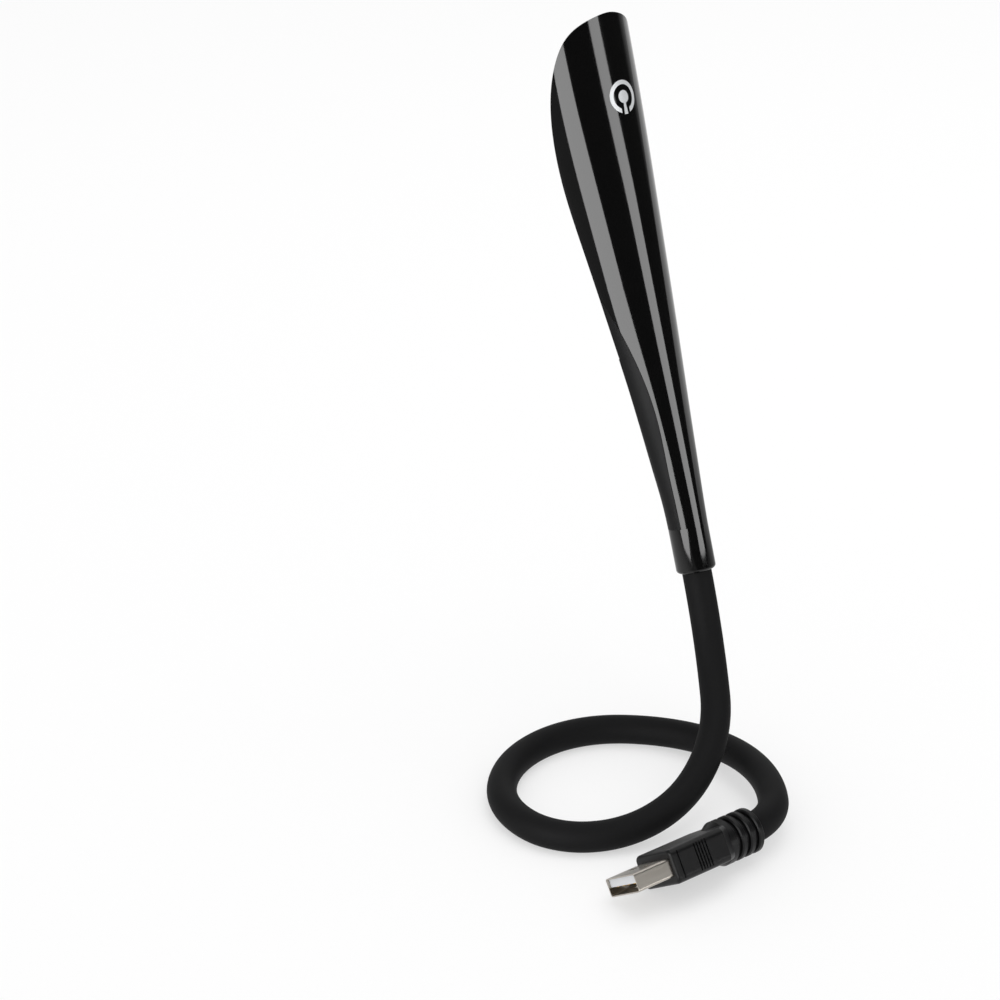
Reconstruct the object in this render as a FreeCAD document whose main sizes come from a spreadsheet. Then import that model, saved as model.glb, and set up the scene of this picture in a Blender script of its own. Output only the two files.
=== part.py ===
import FreeCAD, Part
import math
import os
import Sketcher
from FreeCAD import Placement, Rotation, Vector

# Gooseneck reading lamp with a USB plug, standing on its own coiled neck.
# Millimetres, +Z up. The origin is on the table, under the middle of the lamp's box.

document = FreeCAD.newDocument("gooseneck_reading_lamp")

# Driving dimensions, in millimetres and degrees.
DIMENSIONS = {
    # neck: a soft sleeve over a wound steel hose that carries two leads
    "neck_diameter": 7.6,
    "sleeve_bore": 5.6,
    "hose_diameter": 5.4,
    "hose_bore": 3.4,
    "lead_diameter": 1.3,
    "lead_spacing": 1.6,
    "flex_length": 6.0,
    "hose_break": 4.0,
    "table_flat": 0.5,
    # neck route, from the plug round the coil and up to the head
    "neck_start_x": 26.23,
    "neck_start_y": -37.83,
    "neck_heading": 37.3,
    "first_bend_length": 16.1,
    "first_bend_turn": 50.7,
    "coil_turn": 45.0,
    "coil_dip_angle": -9.1,
    "coil_radius_one": 45.0,
    "coil_radius_two": 34.0,
    "coil_radius_three": 29.0,
    "coil_radius_four": 32.0,
    "coil_radius_five": 25.0,
    "coil_radius_six": 18.0,
    "rise_length": 33.0,
    "rise_turn": 59.0,
    "rise_roll_angle": 30.0,
    "climb_length": 26.0,
    "climb_turn": 35.0,
    "climb_roll_angle": 36.0,
    "upper_length": 33.0,
    "upper_turn": 42.0,
    "upper_roll_angle": 108.0,
    "head_station": 18.0,
    # head: moulded shell, front cover and diffuser
    "head_length": 142.0,
    "head_width": 27.8,
    "head_roll_angle": 158.0,
    "collar_diameter": 10.2,
    "collar_length": 11.7,
    "collar_round": 0.9,
    "back_rise": 1.8,
    "shell_wall": 1.8,
    "seam_offset": 1.5,
    "rim_tilt_angle": 4.5,
    "tip_round": 3.0,
    "fit_clearance": 0.15,
    "neck_seat": 10.0,
    "neck_clearance": 0.1,
    "cover_inset": 2.0,
    "cover_wall": 1.5,
    "plate_thickness": 1.0,
    "plate_length": 7.7,
    "vent_diameter": 1.6,
    "vent_pitch": 5.08,
    "vent_start": 14.6,
    "diffuser_thickness": 2.0,
    "diffuser_recess": 0.3,
    # inside the head
    "board_depth": 4.3,
    "board_thickness": 1.0,
    "board_foot_gap": 2.25,
    "board_tip_gap": 8.7,
    "led_width": 2.8,
    "led_length": 3.5,
    "led_height": 0.8,
    "led_row_spacing": 6.4,
    "led_foot_gap": 6.0,
    "led_tip_gap": 11.0,
    "chip_width": 3.9,
    "chip_length": 4.9,
    "chip_height": 1.5,
    "chip_gap": 15.7,
    "resistor_width": 3.2,
    "resistor_length": 1.6,
    "resistor_height": 0.6,
    "resistor_pitch": 4.0,
    "resistor_gap": 6.75,
    "electrode_diameter": 6.0,
    "ferrule_length": 5.0,
    "ferrule_diameter": 6.4,
    "mark_drop": 21.5,
    "mark_diameter": 8.2,
    "mark_band": 1.05,
    "mark_gap": 2.6,
    "mark_ball": 3.1,
    "mark_stem": 1.0,
    "mark_stem_reach": 4.2,
    "mark_depth": 0.4,
    # plug
    "boot_diameter": 11.2,
    "boot_length": 10.5,
    "boot_rib_pitch": 2.7,
    "boot_groove_width": 1.1,
    "boot_groove_depth": 0.9,
    "boot_edge": 0.3,
    "boot_seat": 8.0,
    "ferrule_seat": 6.0,
    "lead_room": 3.2,
    "plug_width": 14.8,
    "plug_height": 8.4,
    "plug_length": 19.0,
    "plug_round": 1.6,
    "plug_shoulder": 2.6,
    "plug_front_round": 0.8,
    "plug_roll_angle": 33.0,
    "grip_pitch": 0.85,
    "grip_groove": 0.4,
    "grip_depth": 0.35,
    "grip_place": 18.6,
    "front_slot_place": 27.2,
    "usb_width": 12.0,
    "usb_height": 4.5,
    "usb_wall": 0.3,
    "usb_round": 0.6,
    "usb_exposed": 10.5,
    "usb_buried": 9.5,
    "usb_window_width": 2.5,
    "usb_window_length": 2.0,
    "usb_window_spacing": 5.2,
    "usb_window_place": 5.2,
    "tongue_thickness": 1.9,
    "tongue_setback": 0.6,
    "block_length": 5.0,
    "contact_width": 1.0,
    "contact_thickness": 0.25,
    "contact_length": 7.4,
    "contact_inner_spacing": 2.0,
    "contact_outer_spacing": 7.0,
    "contact_setback": 1.1,
    # how far every cutting tool runs past the material
    "overrun": 2.0,
}
LED_ROWS = 7
RESISTOR_COUNT = 4
VENT_COUNT = 5
BOOT_RIBS = 3
GRIP_GROOVES = 5

sheet = document.addObject("Spreadsheet::Sheet", "Sizes")
for row, (alias, number) in enumerate(DIMENSIONS.items(), start=1):
    sheet.set(f"A{row}", alias)
    sheet.set(f"B{row}", str(number))
    sheet.setAlias(f"B{row}", alias)
document.recompute()


def size(alias):
    """A driving dimension's number, read from the sheet."""
    return float(sheet.get(alias))


def cell(alias):
    """A driving dimension's name inside an expression."""
    return f"Sizes.{alias}"


def radians(alias):
    return math.radians(size(alias))


nodes = []


def node(label, thing, frame=Placement()):
    """Name a finished sub-part, carry it into the frame it belongs to and keep it."""
    thing.Label = label
    thing.Placement = frame * thing.Placement
    nodes.append(thing)


def primitive(kind, name, place=None, **expressions):
    """A Part primitive whose sizes are bound to the sheet."""
    thing = document.addObject(f"Part::{kind}", name)
    for prop, expression in expressions.items():
        thing.setExpression(prop, expression)
    if place is not None:
        thing.Placement = place
    return thing


def cut(name, base, tool):
    thing = document.addObject("Part::Cut", name)
    thing.Base = base
    thing.Tool = tool
    return thing


def common(name, base, tool):
    thing = document.addObject("Part::Common", name)
    thing.Base = base
    thing.Tool = tool
    return thing


def fuse(name, *shapes):
    thing = document.addObject("Part::MultiFuse", name)
    thing.Shapes = list(shapes)
    return thing


def group(name, shapes):
    thing = document.addObject("Part::Compound", name)
    thing.Links = list(shapes)
    return thing


def sketch_on(body, name, role, height=None):
    """A sketch on one of the body's own origin planes, or lifted above it."""
    plane = next(p for p in body.Origin.OriginFeatures if p.Role == role)
    sketch = body.newObject("Sketcher::SketchObject", name)
    sketch.AttachmentSupport = (plane, [""])
    sketch.MapMode = "FlatFace"
    if height is not None:
        sketch.setExpression("AttachmentOffset.Base.z", height)
    return sketch


def closed_lines(sketch, points):
    """Straight edges through the points and back to the first."""
    corners = [Vector(across, up, 0) for across, up in points]
    for first, second in zip(corners, corners[1:] + corners[:1]):
        sketch.addGeometry(Part.LineSegment(first, second), False)


def rectangle(sketch, left, low, right, high):
    closed_lines(sketch, [(left, low), (right, low), (right, high), (left, high)])


def rounded_rectangle(sketch, width, height, corner):
    """A rectangle about the origin with round corners."""
    across = width / 2 - corner
    up = height / 2 - corner
    for quarter, (side, rise) in enumerate(((1, 1), (-1, 1), (-1, -1), (1, -1))):
        turn = quarter * math.pi / 2
        middle = Vector(side * across, rise * up, 0)
        circle = Part.Circle(middle, Vector(0, 0, 1), corner)
        sketch.addGeometry(Part.ArcOfCircle(circle, turn, turn + math.pi / 2), False)
    for side in (1, -1):
        sketch.addGeometry(Part.LineSegment(Vector(-across, side * height / 2, 0),
                                            Vector(across, side * height / 2, 0)), False)
        sketch.addGeometry(Part.LineSegment(Vector(side * width / 2, -up, 0),
                                            Vector(side * width / 2, up, 0)), False)


# The neck's route

def turned(vector, axis, angle):
    """A vector turned about an axis through the origin."""
    return Rotation(axis, math.degrees(angle)).multVec(vector)


class Run:
    """One stretch of the route: a straight run, or an arc that bends towards one side."""

    def __init__(self, start, point, along, left, length, turn, aside):
        self.start = start
        self.end = start + length
        self.point = point
        self.along = along
        self.left = left
        self.up = along.cross(left)
        self.turn = turn
        self.aside = aside
        self.axis = along.cross(aside)
        self.radius = length / turn if turn else None

    def angle(self, place):
        return (place - self.start) / self.radius

    def at(self, place):
        """The point, the direction and the left-hand side at a place along the route."""
        if not self.turn:
            return self.point + self.along * (place - self.start), self.along, self.left
        angle = self.angle(place)
        reach = self.along * math.sin(angle) + self.aside * (1 - math.cos(angle))
        return (self.point + reach * self.radius,
                turned(self.along, self.axis, angle), turned(self.left, self.axis, angle))


class Route:
    """Straight runs and tangent arcs, each starting where the last one ended."""

    def __init__(self, point, along):
        self.runs = []
        self.point = point
        self.along = along
        self.left = Vector(-along.y, along.x, 0)
        self.length = 0

    def add(self, length, turn=0, aside=None):
        run = Run(self.length, self.point, self.along, self.left, length, turn,
                  aside or self.left)
        self.runs.append(run)
        self.length = run.end
        self.point, self.along, self.left = run.at(run.end)

    def rolled(self, roll):
        """The side that lies at an angle up from the left-hand side."""
        up = self.along.cross(self.left)
        return self.left * math.cos(roll) + up * math.sin(roll)

    def add_level_turn(self, radius, turn):
        """An arc that turns left by the angle in plan and ends level."""
        heading = math.atan2(self.along.y, self.along.x) + turn
        level = Vector(math.cos(heading), math.sin(heading), 0)
        true_turn = self.along.getAngle(level)
        aside = level - self.along * math.cos(true_turn)
        self.add(radius * true_turn, true_turn, aside.normalize())
        self.left = Vector(-level.y, level.x, 0)

    def run_at(self, place):
        return next(run for run in self.runs if place <= run.end)

    def at(self, place):
        return self.run_at(place).at(place)


# From the rear of the contact block to the mouth of the boot, all inside the plug.
plug_inside = size("boot_length") + size("plug_length") - size("usb_buried")


def make_route(start_height):
    """The neck's middle line, the places of its bending stations and the collar's mouth."""
    heading = radians("neck_heading")
    along = Vector(math.cos(heading), math.sin(heading), 0)
    boot_mouth = Vector(size("neck_start_x"), size("neck_start_y"), start_height)
    route = Route(boot_mouth - along * plug_inside, along)
    stations = {}
    route.add(plug_inside)
    route.add(size("first_bend_length"), radians("first_bend_turn"))
    turn = radians("coil_turn")
    stations["coil_1"] = route.length
    route.add(size("coil_radius_one") * turn, turn, route.rolled(radians("coil_dip_angle")))
    for count, word in enumerate(("two", "three", "four", "five", "six"), start=2):
        stations[f"coil_{count}"] = route.length
        route.add_level_turn(size(f"coil_radius_{word}"), turn)
    stations["riser"] = route.length
    for stage in ("rise", "climb"):
        aside = route.rolled(radians(f"{stage}_roll_angle"))
        route.add(size(f"{stage}_length"), radians(f"{stage}_turn"), aside)
    stations["upper"] = route.length
    stations["head"] = route.length + size("head_station")
    aside = route.rolled(radians("upper_roll_angle"))
    route.add(size("upper_length"), radians("upper_turn"), aside)
    collar_mouth = route.length
    route.add(size("neck_seat") + size("ferrule_seat"))
    return route, stations, collar_mouth


# The plug lies higher than the coil by what the first two links of the coil dip.
trial_route, trial_stations, _ = make_route(0)
dip = trial_route.at(trial_stations["coil_3"])[0].z
coil_height = size("neck_diameter") / 2 - size("table_flat")
route, stations, collar_mouth = make_route(coil_height - dip)


# The neck's solids

def rod(name, diameter, start, end, upward=0):
    """A round rod along a stretch of the route, shifted off its middle line if asked."""
    pieces = []
    for run in route.runs:
        low = max(start, run.start)
        high = min(end, run.end)
        if high <= low:
            continue
        shift = run.up * upward
        label = f"{name}_{len(pieces) + 1}"
        if run.turn:
            piece = primitive("Torus", label, Radius2=f"({diameter}) / 2")
            piece.Radius1 = run.radius - shift.dot(run.aside)
            piece.Angle3 = math.degrees(run.angle(high) - run.angle(low))
            outward = turned(run.aside * -1, run.axis, run.angle(low))
            middle = run.point + run.aside * run.radius + run.axis * shift.dot(run.axis)
            axes = Rotation(outward, run.axis.cross(outward), run.axis, "ZXY")
        else:
            piece = primitive("Cylinder", label, Radius=f"({diameter}) / 2")
            piece.Height = high - low
            middle = run.at(low)[0] + shift
            axes = Rotation(run.left, run.up, run.along, "ZXY")
        piece.Placement = Placement(middle, axes)
        pieces.append(piece)
    return fuse(name, *pieces) if len(pieces) > 1 else pieces[0]


def tube(name, outer, inner, start, end):
    """A round tube along a stretch of the route."""
    return cut(name, rod(f"{name}_outside", outer, start, end),
               rod(f"{name}_bore", inner, start, end))


table_span = 2 * size("head_length")
table = primitive("Box", "table", Length=f"2 * {cell('head_length')}",
                  Width=f"2 * {cell('head_length')}", Height=cell("neck_diameter"))
table.Placement.Base = Vector(-table_span / 2, -table_span / 2, -size("neck_diameter"))


def sleeve(name, start, end):
    """A length of the neck's soft skin, flat where it lies on the table."""
    skin = tube(name, cell("neck_diameter"), cell("sleeve_bore"), start, end)
    return cut(f"{name}_flat", skin, table) if start < stations["upper"] else skin


starts = list(stations.values())
flex_length = size("flex_length")
hinge_places = [start + flex_length / 2 for start in starts]
half_break = size("hose_break") / 2
sleeve_starts = [plug_inside - size("boot_seat")] + [start + flex_length for start in starts]
sleeve_ends = starts + [collar_mouth + size("neck_seat")]
hose_starts = [sleeve_starts[0] - size("ferrule_seat")]
hose_starts += [place + half_break for place in hinge_places]
hose_ends = [place - half_break for place in hinge_places] + [route.length]
lead_starts = [size("fit_clearance")] + hose_starts[1:]

for count, sleeve_start in enumerate(sleeve_starts):
    label = f"{count:02d}"
    node(f"neck_sleeve_{label}", sleeve(f"sleeve_{label}", sleeve_start, sleeve_ends[count]))
    node(f"neck_hose_{label}", tube(f"hose_{label}", cell("hose_diameter"), cell("hose_bore"),
                                    hose_starts[count], hose_ends[count]))
    leads = [rod(f"lead_{label}_{word}", cell("lead_diameter"), lead_starts[count],
                 hose_ends[count], side * size("lead_spacing") / 2)
             for word, side in (("low", -1), ("high", 1))]
    node(f"neck_leads_{label}", group(f"leads_{label}", leads))
for count, start in enumerate(starts, start=1):
    node(f"neck_flex_{count:02d}", sleeve(f"flex_{count:02d}", start, start + flex_length))

# A crimped ferrule on each end of the hose
for word, start in (("plug", hose_starts[0]), ("head", collar_mouth + size("neck_seat"))):
    ferrule_start = start + size("neck_clearance")
    bore = f"{cell('hose_diameter')} + {cell('neck_clearance')}"
    node(f"{word}_ferrule", tube(f"{word}_ferrule_ring", cell("ferrule_diameter"), bore,
                                 ferrule_start, ferrule_start + size("ferrule_length")))

# The head's own frame: Z along the collar to the tip, Y towards the back of the shell

mouth_point, mouth_along, mouth_left = route.at(collar_mouth)
back = turned(mouth_left, mouth_along, radians("head_roll_angle"))
head_place = Placement(mouth_point, Rotation(back.cross(mouth_along), back, mouth_along, "ZYX"))

# Round sections of the head: heights as shares of the length above the collar, and
# radii as shares of the growth from the collar's radius to half the head's width.
SECTION_HEIGHT_SHARES = (0, 0.05, 0.11, 0.19, 0.27, 0.35, 0.60, 0.84, 1)
SECTION_RADIUS_SHARES = (0, 0.043, 0.119, 0.222, 0.339, 0.464, 0.776, 0.992, 1)
# The front cover's own sections: how far it stands out of the rim, as shares of its depth
# at the collar, and how far its edge draws in, as shares of the inset.
COVER_BULGE_SHARES = (1, 0.86, 0.56, 0.29, 0.15, 0.05)
COVER_INSET_SHARES = (0, 0, 0, 0, 0.4, 1)

# The tip's three-centred arch: its rise and its corner radius as shares of half the width.
TIP_RISE_SHARE = 0.863
TIP_CORNER_SHARE = 0.82

collar_radius = size("collar_diameter") / 2


def tapered_form(name, inset="0"):
    """The head's round, tapering bulk, inset from its outer face."""
    body = document.addObject("PartDesign::Body", name)
    rings = []
    for high, wide in zip(SECTION_HEIGHT_SHARES, SECTION_RADIUS_SHARES):
        height = (f"{cell('collar_length')} + {high} * "
                  f"({cell('head_length')} - {cell('collar_length')})")
        radius = (f"({cell('collar_diameter')} + {wide} * "
                  f"({cell('head_width')} - {cell('collar_diameter')})) / 2")
        ring = sketch_on(body, f"{name}_ring_{len(rings)}", "XY_Plane", height)
        ring.setExpression("AttachmentOffset.Base.y", f"{cell('collar_diameter')} / 2 + "
                           f"{high} * {cell('back_rise')} - {radius}")
        ring.addGeometry(Part.Circle(Vector(), Vector(0, 0, 1), collar_radius), False)
        ring.addConstraint(Sketcher.Constraint("Coincident", 0, 3, -1, 1))
        held = ring.addConstraint(Sketcher.Constraint("Radius", 0, collar_radius))
        ring.setExpression(f"Constraints[{held}]", f"{radius} - ({inset})")
        rings.append(ring)
    loft = body.newObject("PartDesign::AdditiveLoft", f"{name}_loft")
    loft.Profile = rings[0]
    loft.Sections = rings[1:]
    return body


def arch_prism(name, inset=0):
    """A prism through the head whose outline is the three-centred tip, inset from it."""
    half_width = size("head_width") / 2
    half = half_width - inset
    corner = TIP_CORNER_SHARE * half_width - inset
    rise = TIP_RISE_SHARE * half_width - inset
    top = size("head_length") - inset
    foot = -size("overrun")
    crown = ((half - corner) ** 2 + rise ** 2 - corner ** 2) / (2 * (rise - corner))
    spring = top - rise
    lean = math.atan2(half - corner, crown - rise)
    upright = math.pi / 2
    body = document.addObject("PartDesign::Body", name)
    sketch = sketch_on(body, f"{name}_outline", "XZ_Plane")
    arcs = ((half - corner, spring, corner, 0, upright - lean),
            (0, top - crown, crown, upright - lean, upright + lean),
            (corner - half, spring, corner, upright + lean, math.pi))
    for across, up, radius, first, last in arcs:
        circle = Part.Circle(Vector(across, up, 0), Vector(0, 0, 1), radius)
        sketch.addGeometry(Part.ArcOfCircle(circle, first, last), False)
    corners = [Vector(-half, spring, 0), Vector(-half, foot, 0),
               Vector(half, foot, 0), Vector(half, spring, 0)]
    for first, second in zip(corners, corners[1:]):
        sketch.addGeometry(Part.LineSegment(first, second), False)
    pad = body.newObject("PartDesign::Pad", f"{name}_pad")
    pad.Profile = sketch
    pad.SideType = "Symmetric"
    pad.setExpression("Length", f"2 * {cell('head_width')}")
    return body


# The rim's frame: the plane where the shell meets the cover and the diffuser, Y into the head

rim_place = Placement(Vector(0, size("seam_offset"), size("collar_length")),
                      Rotation(Vector(1, 0, 0), size("rim_tilt_angle")))


def in_rim(across, deep, up):
    return rim_place * Placement(Vector(across, deep, up), Rotation())


def slab(name, deep, thickness, start, length):
    """A slab as wide as the head, set a depth behind the rim."""
    thing = primitive("Box", name, in_rim(-size("head_width"), deep, start),
                      Length=f"2 * {cell('head_width')}", Width=thickness)
    thing.Height = length
    return thing


def pin(name, diameter, place, length):
    """A round pin whose axis points towards the back."""
    thing = primitive("Cylinder", name, Radius=f"({diameter}) / 2", Height=length)
    thing.Placement = place * Placement(Vector(), Rotation(Vector(1, 0, 0), -90))
    return thing


# Back shell: one moulding with the collar

collar = document.addObject("PartDesign::Body", "collar")
collar_sketch = sketch_on(collar, "collar_outline", "XZ_Plane")
foot_round = size("collar_round")
collar_corners = [(collar_radius, foot_round), (collar_radius, size("collar_length")),
                  (0, size("collar_length")), (0, 0), (collar_radius - foot_round, 0)]
collar_points = [Vector(across, up, 0) for across, up in collar_corners]
for first, second in zip(collar_points, collar_points[1:]):
    collar_sketch.addGeometry(Part.LineSegment(first, second), False)
foot_circle = Part.Circle(Vector(collar_radius - foot_round, foot_round, 0),
                          Vector(0, 0, 1), foot_round)
collar_sketch.addGeometry(Part.ArcOfCircle(foot_circle, -math.pi / 2, 0), False)
collar_turn = collar.newObject("PartDesign::Revolution", "collar_turn")
collar_turn.Profile = collar_sketch
collar_turn.ReferenceAxis = (collar_sketch, ["V_Axis"])

outer_form = tapered_form("outer_form")
outer_bulk = common("outer_bulk", outer_form, arch_prism("outer_arch"))
# A round-edged drum, a little wider than the tip, rounds the edge between tip and back.
drum = document.addObject("PartDesign::Body", "drum")
drum_sketch = sketch_on(drum, "drum_outline", "XY_Plane")
drum_radius = size("head_width") / 2 + size("fit_clearance")
drum_middle = collar_radius + size("back_rise") - size("head_width") / 2
drum_circle = Part.Circle(Vector(0, drum_middle, 0), Vector(0, 0, 1), drum_radius)
drum_sketch.addGeometry(drum_circle, False)
drum_pad = drum.newObject("PartDesign::Pad", "drum_pad")
drum_pad.Profile = drum_sketch
drum_pad.setExpression("Length", cell("head_length"))
document.recompute()
drum_edge = max(range(len(drum_pad.Shape.Edges)),
                key=lambda count: drum_pad.Shape.Edges[count].BoundBox.ZMin)
drum_round = drum.newObject("PartDesign::Fillet", "drum_round")
drum_round.Base = (drum_pad, [f"Edge{drum_edge + 1}"])
drum_round.setExpression("Radius", cell("tip_round"))

head_bulk = fuse("head_bulk", collar, common("rounded_bulk", outer_bulk, drum))
hollow = common("hollow", tapered_form("hollow_form", cell("shell_wall")),
                arch_prism("hollow_arch", size("shell_wall")))
throat = primitive("Cylinder", "throat",
                   Radius=f"{cell('collar_diameter')} / 2 - {cell('shell_wall')}",
                   Height=f"{cell('collar_length')} + {cell('fit_clearance')}")
neck_hole = primitive("Cylinder", "neck_hole",
                      Radius=f"{cell('neck_diameter')} / 2 + {cell('neck_clearance')}",
                      Height=f"{cell('neck_seat')} + {cell('overrun')}")
neck_hole.Placement.Base = Vector(0, 0, -size("overrun"))
shell_hollow = fuse("shell_hollow", hollow, throat, neck_hole)
front = slab("front", -size("head_width"), cell("head_width"), 0, size("head_length"))
open_shell = cut("open_shell", cut("hollow_shell", head_bulk, shell_hollow), front)

# Touch mark: an inlaid ring, open towards the collar, round a ball on a stem

mark_height = size("head_length") - size("mark_drop")
mark_spot = Placement(Vector(0, 0, mark_height), Rotation())
mark_reach = cell("head_width")


def mark_bar(name, width, length):
    """A bar that runs from the mark's middle towards the collar."""
    bar = primitive("Box", name, Length=width, Width=mark_reach, Height=length)
    bar.Placement.Base = Vector(-size(width.split(".")[1]) / 2, 0,
                                mark_height - size(length.split(".")[1]))
    return bar


ring_hole = pin("ring_hole", f"{cell('mark_diameter')} - 2 * {cell('mark_band')}",
                mark_spot, mark_reach)
ring_disc = pin("ring_disc", cell("mark_diameter"), mark_spot, mark_reach)
ring_band = cut("ring_band", ring_disc, ring_hole)
open_ring = cut("open_ring", ring_band, mark_bar("ring_gap", cell("mark_gap"),
                                                 cell("mark_diameter")))
ball = pin("ball", cell("mark_ball"), mark_spot, mark_reach)
stem = mark_bar("stem", cell("mark_stem"), cell("mark_stem_reach"))
mark_prism = fuse("mark_prism", open_ring, fuse("ball_and_stem", ball, stem))
mark_skin = cut("mark_skin", outer_form, tapered_form("skin_form", cell("mark_depth")))
mark = common("mark", mark_prism, mark_skin)
node("touch_mark", group("mark_pieces", [mark]), head_place)
node("back_shell", cut("shell", open_shell, mark), head_place)

# Front cover: bulges into a half round at the collar and runs out flat in the rim


def cover_sections():
    """Half width at the rim, place along the rim and bulge of each section of the cover."""
    tilt = radians("rim_tilt_angle")
    depth = (size("seam_offset") + collar_radius) / math.cos(tilt)
    sections = []
    shares = zip(SECTION_HEIGHT_SHARES, SECTION_RADIUS_SHARES,
                 COVER_BULGE_SHARES, COVER_INSET_SHARES)
    for high, wide, bulge, inset in shares:
        rise = high * (size("head_length") - size("collar_length"))
        radius = collar_radius + wide * (size("head_width") / 2 - collar_radius)
        middle = collar_radius + high * size("back_rise") - radius
        off_middle = size("seam_offset") - rise * math.tan(tilt) - middle
        half = math.sqrt(radius ** 2 - off_middle ** 2) - inset * size("cover_inset")
        sections.append((half, rise / math.cos(tilt), bulge * depth))
    return sections


def cover_form(name, sections):
    """A loft of flat-backed round sections along the rim."""
    body = document.addObject("PartDesign::Body", name)
    sketches = []
    for half, place, bulge in sections:
        sketch = sketch_on(body, f"{name}_section_{len(sketches)}", "XY_Plane")
        sketch.AttachmentOffset = Placement(Vector(0, 0, place), Rotation())
        left = Vector(-half, 0, 0)
        right = Vector(half, 0, 0)
        sketch.addGeometry(Part.LineSegment(right, left), False)
        sketch.addGeometry(Part.Arc(left, Vector(0, -bulge, 0), right), False)
        sketches.append(sketch)
    loft = body.newObject("PartDesign::AdditiveLoft", f"{name}_loft")
    loft.Profile = sketches[0]
    loft.Sections = sketches[1:]
    body.Placement = rim_place
    return body


sections = cover_sections()
cover_end = sections[-1][1]
cover_wall = size("cover_wall")
inner_sections = [(half - cover_wall, place, bulge - cover_wall)
                  for half, place, bulge in sections if bulge > cover_wall]
inner_half, _, inner_bulge = inner_sections[0]
inner_sections.insert(0, (inner_half, -size("overrun"), inner_bulge))
cover_skin = cut("cover_skin", cover_form("cover_bulge", sections),
                 cover_form("cover_hollow", inner_sections))
seat_inset = f"{cell('shell_wall')} + {cell('fit_clearance')}"
seat_room = common("seat_room", tapered_form("seat_form", seat_inset),
                   arch_prism("seat_arch", size("shell_wall") + size("fit_clearance")))
plate_length = size("plate_length")
tab = common("tab", slab("tab_slab", 0, cell("plate_thickness"), cover_end - plate_length,
                         plate_length), seat_room)
vents = [pin(f"vent_{count}", cell("vent_diameter"),
             in_rim(0, -collar_radius, size("vent_start") + count * size("vent_pitch")),
             cell("collar_diameter")) for count in range(VENT_COUNT)]
vented_cover = cut("vented_cover", fuse("cover", cover_skin, tab), fuse("vents", *vents))
node("front_cover", vented_cover, head_place)

# Diffuser: an opal plate let into the rim

diffuser_start = cover_end + size("fit_clearance")
diffuser_slab = slab("diffuser_slab", size("diffuser_recess"), cell("diffuser_thickness"),
                     diffuser_start, size("head_length") - diffuser_start)
node("diffuser", common("diffuser_plate", diffuser_slab, seat_room), head_place)

# Light board with its lamps, driver, resistors and touch electrode

board_front = size("board_depth")
board_back = board_front + size("board_thickness")
tilt_share = math.cos(radians("rim_tilt_angle"))
rim_length = (size("head_length") - size("collar_length")) / tilt_share
board_start = cover_end + size("board_foot_gap")
board_length = rim_length - size("board_tip_gap") - board_start
board_slab = slab("board_slab", board_front, cell("board_thickness"), board_start,
                  board_length)
node("light_board", common("board", board_slab, seat_room), head_place)


def chip(name, kind, across, deep, up):
    """A small block on the board, centred on its place."""
    place = in_rim(across - size(f"{kind}_width") / 2, deep, up - size(f"{kind}_length") / 2)
    return primitive("Box", name, place, Length=cell(f"{kind}_width"),
                     Width=cell(f"{kind}_height"), Height=cell(f"{kind}_length"))


led_start = board_start + size("led_foot_gap")
led_pitch = (board_length - size("led_foot_gap") - size("led_tip_gap")) / (LED_ROWS - 1)
lamps = [chip(f"lamp_{count}_{word}", "led", side * size("led_row_spacing") / 2,
              board_front - size("led_height"), led_start + count * led_pitch)
         for count in range(LED_ROWS) for word, side in (("left", -1), ("right", 1))]
node("light_diodes", group("lamps", lamps), head_place)
# The electrode is behind the mark; the driver and its resistors follow below it.
electrode_up = (mark_height - size("collar_length")) / tilt_share
chip_top = electrode_up - size("electrode_diameter") / 2 - size("chip_gap")
chip_up = chip_top - size("chip_length") / 2
node("dimmer_chip", chip("dimmer", "chip", 0, board_back, chip_up), head_place)
resistor_top = chip_top - size("chip_length") - size("resistor_gap")
resistor_up = resistor_top - size("resistor_length") / 2
resistors = [chip(f"resistor_{count}", "resistor", 0, board_back,
                  resistor_up - count * size("resistor_pitch"))
             for count in range(RESISTOR_COUNT)]
node("resistors", group("resistor_row", resistors), head_place)
electrode = pin("electrode", cell("electrode_diameter"), in_rim(0, board_back, electrode_up),
                cell("head_width"))
node("touch_electrode", common("electrode_post", electrode, seat_room), head_place)

# Leads from the end of the hose to the front of the board's foot

lead_radius = size("lead_diameter") / 2
lead_foot = Vector(0, 0, size("neck_seat") + size("ferrule_seat") + size("fit_clearance"))
lead_head = rim_place.multVec(Vector(0, board_front - lead_radius - size("fit_clearance"),
                                     board_start + size("lead_spacing")))
lead_line = lead_head - lead_foot
head_leads = []
for word, side in (("left", -1), ("right", 1)):
    lead = primitive("Cylinder", f"head_lead_{word}", Radius=f"{cell('lead_diameter')} / 2")
    lead.Height = lead_line.Length
    aside = Vector(side * size("lead_spacing") / 2, 0, 0)
    lead.Placement = Placement(lead_foot + aside, Rotation(Vector(0, 0, 1), lead_line))
    head_leads.append(lead)
node("head_leads", group("lead_pair", head_leads), head_place)

# Plug: its own frame has Z from the mouth of the boot to the tip, Y up before it is rolled

plug_mouth, plug_back_along, _ = route.at(plug_inside)
plug_along = plug_back_along * -1
plug_up = turned(Vector(0, 0, 1), plug_along, radians("plug_roll_angle"))
plug_place = Placement(plug_mouth, Rotation(plug_up.cross(plug_along), plug_up, plug_along,
                                            "ZYX"))
plug_front = size("boot_length") + size("plug_length")
front_height = f"{cell('boot_length')} + {cell('plug_length')}"


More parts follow.
